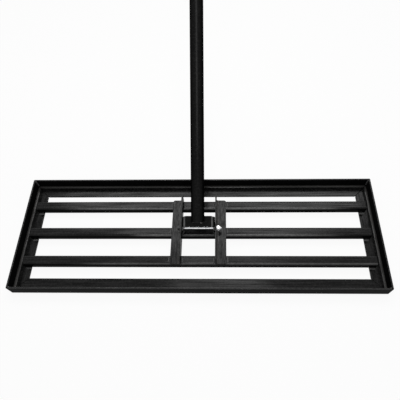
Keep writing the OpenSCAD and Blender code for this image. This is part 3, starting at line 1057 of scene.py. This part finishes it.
# %% [markdown]
# ## The pivot bolt, its nut and the locking ring
#
# A zinc-plated bolt crosses both uprights and the bracket. Only its plain shank shows between
# the bracket's ears, and its thread shows beyond the nut. The thread is modelled as a real spiral:
# the radius of each point follows its height and its turn round the axis, so that the ridge climbs
# by one pitch in each turn. The head on the left doesn't shine in the photograph as the nut on the right
# does, so it gets a black finish and is a piece of its own, and so does the washer under it.
# The shank shines only along a line that faces the user: all round it apart from that line it is dark and
# dull, painted shade that leaves the line as a painted highlight.

# %% Turn the bolt's head
hex_half = 5 * mm
bolt_radius = 3 * mm
bolt_head = 4 * mm
cone_slope = 0.5
cone_start = hex_half * 0.97
washer_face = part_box("pivot_washers")[1].x

stand = on_bolt(0)
head_top = -washer_face - bolt_head
head_rings = [
    round_ring(stand, 4.2 * mm, head_top + 0.12 * mm),
    round_ring(stand, 4.6 * mm, head_top, 0.6),
    hex_ring(stand, hex_half * 0.995, head_top + 0.08 * mm, cone_slope, cone_start, 1.0),
    hex_ring(stand, hex_half, head_top + 0.25 * mm, cone_slope, cone_start),
    hex_ring(stand, hex_half, -washer_face - 0.3 * mm),
    hex_ring(stand, hex_half * 0.96, -washer_face, wear_value=1.0),
    round_ring(stand, bolt_radius, -washer_face),
]
make_piece("pivot_bolt_head", [skin(head_rings)], ["pivot_bolt"], "head", "black_screw")
print("head rings:", len(head_rings))

# %% Turn the bolt's shank and thread
thread_pitch = 1 * mm
thread_depth = 0.45 * mm
thread_start = washer_face - 1 * mm
thread_wear = 0.3
bolt_end = bolt_high.x
end_chamfer = 0.8 * mm
rows_per_pitch = 10
shank_pieces = 20
# The shank's painted highlight line: its direction round the axis, and where it fades into the painted shade
highlight_side = math.radians(203)
highlight_from, highlight_to = math.cos(math.radians(41)), math.cos(math.radians(33))


def shank_ring_with_painted_highlight(stand, radius, height):
    """Ring of the shank: its wear is -1 in the painted shade and 0 along the painted highlight line."""
    ring = []
    for i, (point, _) in enumerate(round_ring(stand, radius, height)):
        towards = math.cos(math.tau * i / turn_count - highlight_side)
        ring.append((point, clamp((towards - highlight_from) / (highlight_to - highlight_from)) - 1))
    return ring


shank_length = thread_start + washer_face
thread_length = bolt_end - thread_start
thread_rows = round(thread_length / thread_pitch * rows_per_pitch)
rings = [shank_ring_with_painted_highlight(stand, bolt_radius, -washer_face + shank_length * i / shank_pieces)
         for i in range(shank_pieces + 1)]
for row in range(1, thread_rows + 1):
    height = thread_start + thread_length * row / thread_rows
    run_out = min((height - thread_start) / thread_pitch, 1.0)
    limit = bolt_radius - max(height - (bolt_end - end_chamfer), 0)
    polar = []
    for i in range(turn_count):
        phase = (height / thread_pitch - i / turn_count) % 1
        groove_depth = thread_depth * run_out * (1 - abs(2 * phase - 1))
        polar.append((min(bolt_radius - groove_depth, limit), height))
    rings.append(place_ring(stand, polar, thread_wear))
make_piece("pivot_bolt_shank", [skin(rings)], ["pivot_bolt"], "head", "zinc")
print("shank rings:", len(rings))

# %% Turn the nut and its ring
nut_height = 6 * mm
collar_height = nut_height * 0.35
collar_radius = hex_half * 0.94
ring_radius = collar_radius - 0.9 * mm
ring_height = collar_height * 0.8
ring_gap = 0.05 * mm
bore = bolt_radius + 0.05 * mm
hex_height = nut_height - collar_height
ring_floor = nut_height - ring_height

stand = on_bolt(washer_face)
nut_rings = [
    round_ring(stand, bore + 0.4 * mm, 0),
    round_ring(stand, hex_half * 0.95, 0),
    hex_ring(stand, hex_half, 0.1 * mm, cone_slope, cone_start, 1.0),
    hex_ring(stand, hex_half, hex_height - 0.25 * mm, -cone_slope, cone_start),
    hex_ring(stand, hex_half * 0.99, hex_height - 0.1 * mm, -cone_slope, cone_start, 1.0),
]
nut_rings += turned(stand, [
    (collar_radius, hex_height),
    (collar_radius, nut_height - 0.9 * mm),
    (collar_radius - 0.12 * mm, nut_height - 0.45 * mm, 0.5),
    (collar_radius - 0.4 * mm, nut_height - 0.1 * mm, 1.0),
    (collar_radius - 0.65 * mm, nut_height, 0.5),
    (ring_radius + ring_gap, nut_height - 0.15 * mm),
    (ring_radius + ring_gap, ring_floor),
    (bore, ring_floor),
    (bore, 0.4 * mm),
])
make_piece("pivot_nut_zinc", [skin(nut_rings, hollow=True)], ["pivot_nut"], "head", "zinc")
locking_rings = turned(stand, [
    (ring_radius, ring_floor),
    (ring_radius, nut_height - 0.25 * mm),
    (ring_radius - 0.2 * mm, nut_height - 0.05 * mm, 0.5),
    (bore + 0.2 * mm, nut_height - 0.05 * mm, 0.5),
    (bore, nut_height - 0.2 * mm),
    (bore, ring_floor),
])
make_piece("nut_locking_ring", [skin(locking_rings, hollow=True)], ["nut_insert"], "head", "nylon")
print("nut rings:", len(nut_rings), "and", len(locking_rings))

# %% [markdown]
# ## The handle
#
# Three lengths of thin round tube make the handle. They meet over sleeves that are hidden inside,
# and screws hold them. The sleeves keep their shape from the frame. Each tube is a hollow skin
# with slightly rounded ends, so a fine dark line shows at every joint.

# %% Roll the tubes
tube_wall = 0.8 * mm
section_length = 500 * mm
tube_end_round = 0.35 * mm
tube_end_step = 0.1 * mm
tube_pieces = 20


def tube_skin(start, finish):
    outer, inner = tube_radius, tube_radius - tube_wall
    run = finish - start - 2 * tube_end_round
    places = [start + tube_end_round + run * i / tube_pieces for i in range(tube_pieces + 1)]
    profile = [(outer - tube_end_round, start, 0.5),
               (outer - tube_end_step, start + tube_end_step, 1.0)]
    profile += [(outer, y) for y in places]
    profile += [(outer - tube_end_step, finish - tube_end_step, 1.0),
                (outer - tube_end_round, finish, 0.5), (inner, finish)]
    profile += [(inner, y) for y in reversed(places)]
    profile += [(inner, start)]
    return skin(turned(on_tube(0), profile), hollow=True)


joints = [tube_start + section_length * i for i in range(4)]
for node, start, finish in zip(("lower_tube", "middle_tube", "upper_tube"), joints, joints[1:]):
    make_piece(node + "_rolled", [tube_skin(start, finish)], [node], "handle", "tube_paint")
print("tube joints at", [round(y / mm) for y in joints], "mm")

# %% [markdown]
# ## The joint screws
#
# Two button screws with a hexagon socket hold each joint. The head is a dome that turns inwards at the top
# and drops into the socket. Its skirt reaches down to the tube, which curves away under it.

# %% Turn the joint screws
screw_radius = 4.5 * mm
screw_height = 2.6 * mm
skirt = 0.8 * mm
skirt_round = 0.15 * mm
dome_start = 0.3 * mm
dome_rings = 7
socket_half = 1.5 * mm
socket_depth = 1.5 * mm
screw_offset = 22 * mm


def screw_skin(y):
    stand = handle_frame @ Matrix.Translation((0, y, tube_rise + tube_radius))
    dome = [(screw_radius * 0.97, -skirt), (screw_radius, skirt_round - skirt)]
    for i in range(dome_rings):
        angle = math.radians(8 + 10 * i)
        dome.append((screw_radius * math.cos(angle) ** 0.8,
                     dome_start + (screw_height - dome_start) * math.sin(angle) ** 1.2, 0.3))
    socket = [hex_ring(stand, socket_half * 1.06, screw_height - 0.02 * mm, wear_value=1.0),
              hex_ring(stand, socket_half, screw_height - 0.15 * mm),
              hex_ring(stand, socket_half, screw_height - socket_depth)]
    return skin(turned(stand, dome) + socket)


screws = [screw_skin(joint + side * screw_offset) for joint in joints[1:3] for side in (-1, 1)]
make_piece("joint_button_screws", screws, ["joint_screws"], "handle", "black_screw")
print("screws:", len(screws))

# %% [markdown]
# ## The grip and the end cap
#
# A rubber grip is moulded with ribs that keep a wet hand from sliding. The ribs are real geometry:
# the radius of each ring follows a wave along the grip, and plain bands are left at both ends.
# A moulded cap closes the tube.

# %% Mould the grip
handle_end = joints[-1]
grip_length = 140 * mm
grip_outer = 16.6 * mm
grip_inner = tube_radius + 0.1 * mm
grip_round = 1.8 * mm
round_steps = 6
rib_pitch = 4.4 * mm
rib_depth = 0.9 * mm
rows_per_rib = 10
plain_band = 13 * mm
rib_run = grip_length - 2 * plain_band
rib_count = round(rib_run / rib_pitch)

stand = on_tube(handle_end - grip_length)
near_end = []
for i in range(round_steps + 1):
    angle = math.radians(90 / round_steps * i)
    near_end.append((grip_outer - grip_round + grip_round * math.sin(angle),
                     grip_round - grip_round * math.cos(angle), 0.3))
ribs = []
rows = rib_count * rows_per_rib
for row in range(rows + 1):
    wave = (0.5 - 0.5 * math.cos(math.tau * rib_count * row / rows)) ** 1.5
    ribs.append((grip_outer - rib_depth * wave, plain_band + rib_run * row / rows, 0.5 - wave))
far_end = [(radius, grip_length - height, wear_value) for radius, height, wear_value in reversed(near_end)]
profile = near_end + ribs + far_end + [(grip_inner, grip_length), (grip_inner, 0)]
make_piece("ribbed_grip", [skin(turned(stand, profile), hollow=True)], ["grip"], "handle", "grip_rubber")
print("ribs on the grip:", rib_count)

# %% Mould the end cap
cap_radius = 14.8 * mm
cap_height = 4 * mm
cap_edge = 0.2 * mm
crown_radius, crown_height = 4 * mm, 2.6 * mm
crown_steps = 8
stem_radius = tube_radius - tube_wall - 0.1 * mm
stem_length = 16.2 * mm

profile = [
    (stem_radius - 0.8 * mm, -stem_length),
    (stem_radius, 1 * mm - stem_length),
    (stem_radius, 0),
    (cap_radius - cap_edge, 0),
    (cap_radius, cap_edge),
]
for i in range(1, crown_steps + 1):
    angle = math.radians(90 / crown_steps * i)
    radius = cap_radius - crown_radius + crown_radius * math.cos(angle)
    height = cap_height - crown_height + crown_height * math.sin(angle)
    profile.append((radius, height, 0.4 * math.sin(angle)))
profile += [
    (cap_radius * 0.5, cap_height - 0.02 * mm),
    (cap_radius * 0.46, cap_height - 0.35 * mm),
    (cap_radius * 0.2, cap_height - 0.4 * mm),
]
cap_rings = turned(on_tube(handle_end), profile)
make_piece("moulded_end_cap", [skin(cap_rings)], ["end_cap"], "handle", "cap_plastic")
print("cap rings:", len(cap_rings))

# %% [markdown]
# ## Closing
#
# The box around the dressed rake is compared with the box of the imported model, and how far it grew is
# printed.

# %% Compare the sizes and finish
import json

visual_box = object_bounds()
cad_size, visual_size = (high - low for low, high in (cad_box, visual_box))
print("grown by", [round(grown / mm, 2) for grown in visual_size - cad_size], "mm")
